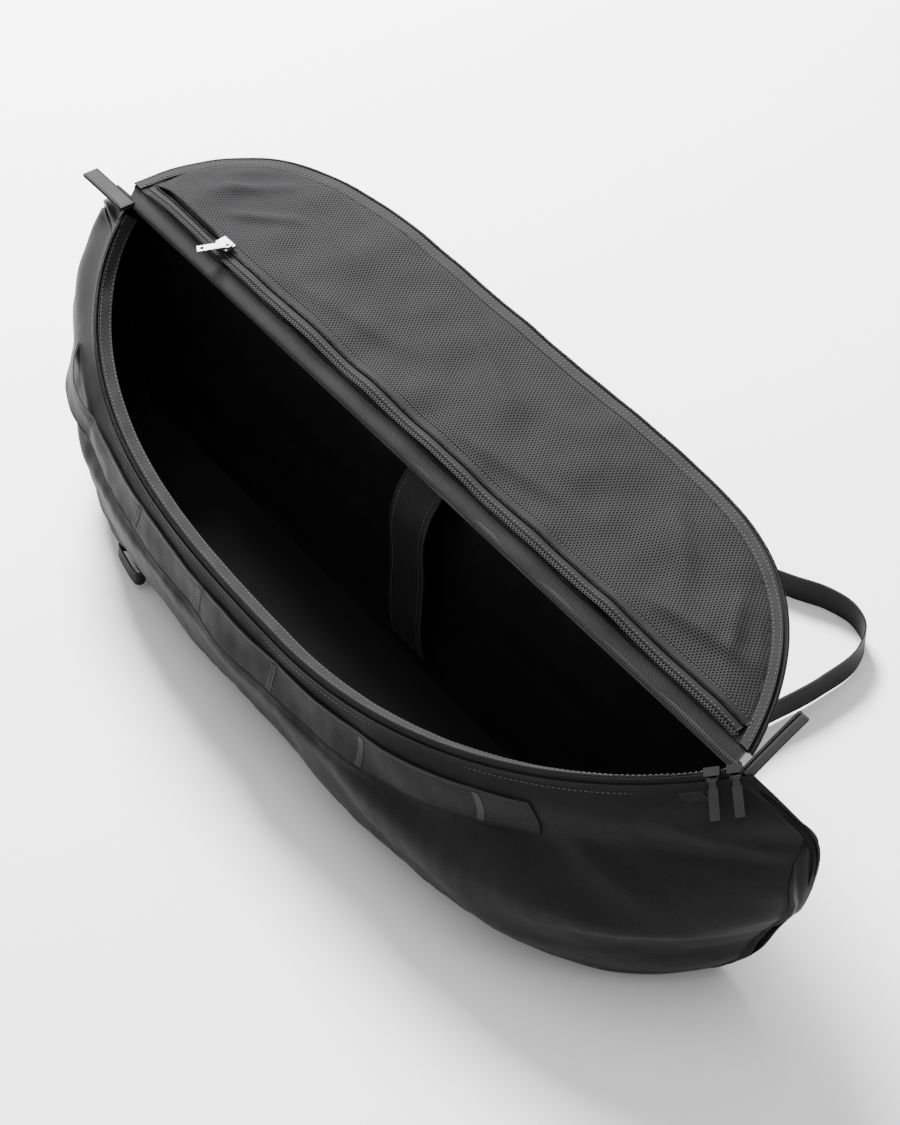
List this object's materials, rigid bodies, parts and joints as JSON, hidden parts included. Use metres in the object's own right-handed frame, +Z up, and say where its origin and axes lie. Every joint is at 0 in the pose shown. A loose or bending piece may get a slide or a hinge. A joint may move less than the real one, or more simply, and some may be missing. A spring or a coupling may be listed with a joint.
{
  "type": "skateboard carry bag",
  "caption": "Long soft bag that opens along its top with a zipped hinged lid, a zipped mesh pocket inside the lid, a webbing daisy chain and a carry strap.",
  "frame": {"origin": "on the floor under the bag, in the plane x = 0 half way along the hinge", "axes": "+X along the bag's length to its right end seen from the front, -Y to the curved front panel, +Z up"},
  "size_m": [0.865, 0.4532, 0.2445],
  "materials": {
    "textured_cloth": "matt oxford weave",
    "smooth_cloth": "smooth coated, slight sheen",
    "lining_cloth": "matt plain weave",
    "grosgrain": "ribbed tape",
    "zip_tape": "woven tape",
    "zip_coil": "nylon coil",
    "webbing": "ribbed webbing",
    "thread": "dense zigzag thread",
    "mesh_net": "open hexagonal net",
    "silver_metal": "bright plated",
    "black_metal": "black lacquer, worn edges"
  },
  "bodies": {
    "bag": {"base_panel": "textured_cloth", "front_panel": "textured_cloth", "back_panel": "textured_cloth", "left_end_panel": "smooth_cloth", "right_end_panel": "smooth_cloth", "front_lining": "lining_cloth", "back_lining": "lining_cloth", "rim_facing": "grosgrain", "body_zip_tape": "zip_tape", "body_zip_coil": "zip_coil", "back_top_binding": "grosgrain", "daisy_chain_webbing": "webbing", "bar_tacks": "thread", "side_loop": "webbing", "zip_end_tab_left": "webbing", "zip_end_tab_right": "webbing", "zip_garage": "smooth_cloth", "shoulder_strap": "webbing", "board_strap": "webbing", "main_slider_b": "black_metal"},
    "lid": {"lid_panel": "textured_cloth", "lid_lining": "lining_cloth", "lid_zip_tape": "zip_tape", "lid_zip_coil": "zip_coil", "lid_binding": "grosgrain", "hinge_binding": "grosgrain", "mesh_pocket_panel": "mesh_net", "mesh_lower_strip": "mesh_net", "pocket_tape_lower": "zip_tape", "pocket_tape_upper": "zip_tape", "pocket_zip_coil": "zip_coil"},
    "pocket_slider": {"pocket_slider": "silver_metal"},
    "pocket_puller": {"pocket_puller": "silver_metal"},
    "main_slider": {"main_slider_a": "black_metal"},
    "main_pull_a": {"main_pull_a": "black_metal"},
    "main_pull_b": {"main_pull_b": "black_metal"}
  },
  "joints": [
    {"name": "lid_hinge", "type": "hinge", "parent": "bag", "child": "lid", "pos_m": [0, 0.07, 0.218], "axis": [1, 0, 0], "range_deg": [0, 201]},
    {"name": "pocket_slider_travel", "type": "slide", "parent": "lid", "child": "pocket_slider", "axis": [1, 0, 0], "range_m": [-0.055, 0.56]},
    {"name": "pocket_puller_swivel", "type": "hinge", "parent": "pocket_slider", "child": "pocket_puller", "pos_m": [-0.265, 0.09296, 0.22866], "axis": [0, -0.1045, 0.9945], "range_deg": [-50, 75]},
    {"name": "main_slider_travel", "type": "hinge", "parent": "bag", "child": "main_slider", "pos_m": [0.038, 0.31228, 0.3349], "axis": [0, 0.454, -0.891], "range_deg": [0, 46]},
    {"name": "main_pull_a_swing", "type": "hinge", "parent": "main_slider", "child": "main_pull_a", "pos_m": [0.36377, 0.05642, 0.20442], "axis": [-0.6613, -0.6684, -0.3405], "range_deg": [0, 95]},
    {"name": "main_pull_b_swing", "type": "hinge", "parent": "bag", "child": "main_pull_b", "pos_m": [0.37408, 0.06722, 0.20993], "axis": [-0.6334, -0.6895, -0.3513], "range_deg": [0, 95]}
  ]
}
